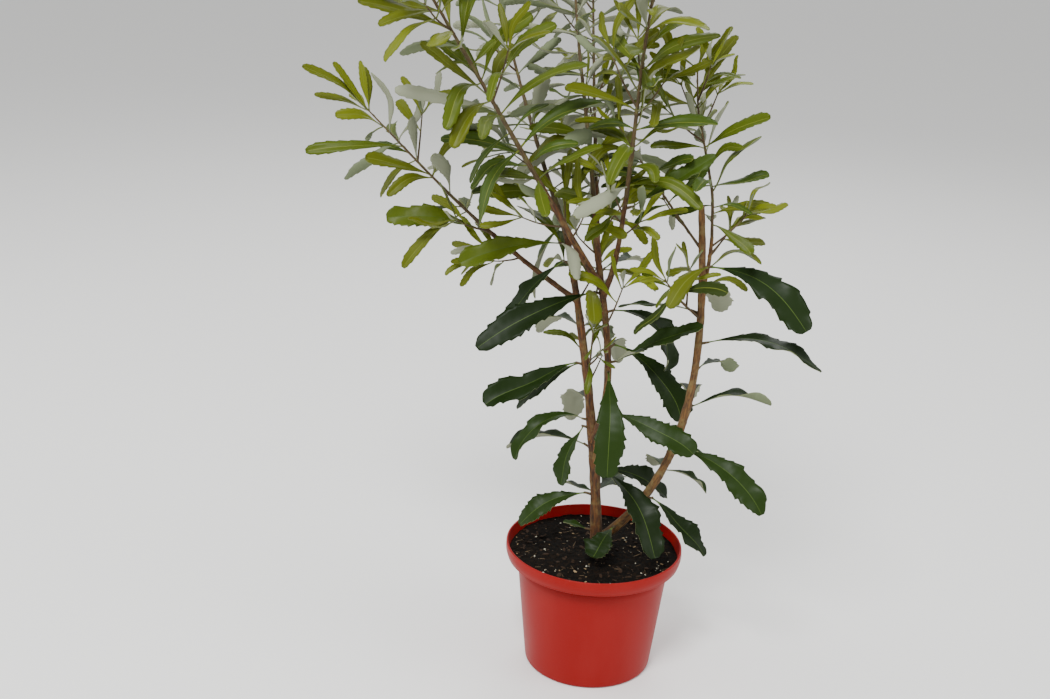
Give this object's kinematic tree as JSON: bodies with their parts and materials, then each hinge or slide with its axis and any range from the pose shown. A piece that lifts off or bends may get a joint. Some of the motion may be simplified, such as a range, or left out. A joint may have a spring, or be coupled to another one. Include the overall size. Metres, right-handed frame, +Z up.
{
  "type": "potted coastal banksia",
  "caption": "Young evergreen shrub with slim upright stems and long toothed leaves, growing in a squat round plastic nursery pot filled with potting mix.",
  "frame": {"origin": "centre of the pot's flat underside, on the pot's axis", "axes": "+Z up along the pot's axis, -Y towards the side first seen, +X to that side's right"},
  "size_m": [0.5711, 0.444, 0.9021],
  "materials": {
    "red_plastic": "moulded, satin",
    "potting_mix": "damp composted bark",
    "bark": "young bark, matt",
    "leaf_green": "leathery, waxy above"
  },
  "bodies": {
    "root": {"pot": "red_plastic", "soil": "potting_mix", "trunk": "bark", "bough_centre": "bark", "bough_left": "bark", "bough_front": "bark", "bough_back": "bark", "bough_far_left": "bark", "bough_right": "bark", "bough_right_shoot": "bark", "leaves_arch_left": "leaf_green", "leaves_arm_left": "leaf_green", "leaves_back_centre": "leaf_green", "leaves_back_left": "leaf_green", "leaves_back_right": "leaf_green", "leaves_far_left": "leaf_green", "leaves_foot": "leaf_green", "leaves_foot_left": "leaf_green", "leaves_fork_left": "leaf_green", "leaves_front": "leaf_green", "leaves_hanging": "leaf_green", "leaves_inner_back": "leaf_green", "leaves_inner_front": "leaf_green", "leaves_inner_right": "leaf_green", "leaves_low_back": "leaf_green", "leaves_low_front": "leaf_green", "leaves_low_left": "leaf_green", "leaves_low_right": "leaf_green", "leaves_mid_back": "leaf_green", "leaves_mid_left": "leaf_green", "leaves_right_back": "leaf_green", "leaves_right_big": "leaf_green", "leaves_right_foot": "leaf_green", "leaves_right_inner": "leaf_green", "leaves_right_long": "leaf_green", "leaves_right_low": "leaf_green", "leaves_right_mid": "leaf_green", "leaves_right_silver": "leaf_green", "leaves_rim_back": "leaf_green", "leaves_rim_left": "leaf_green", "leaves_upper_left": "leaf_green", "foliage_back": "leaf_green", "foliage_back_left": "leaf_green", "foliage_centre": "leaf_green", "foliage_far_left": "leaf_green", "foliage_front": "leaf_green", "foliage_inner": "leaf_green", "foliage_left": "leaf_green", "foliage_low": "leaf_green", "foliage_right": "leaf_green", "foliage_young": "leaf_green"}
  },
  "joints": []
}
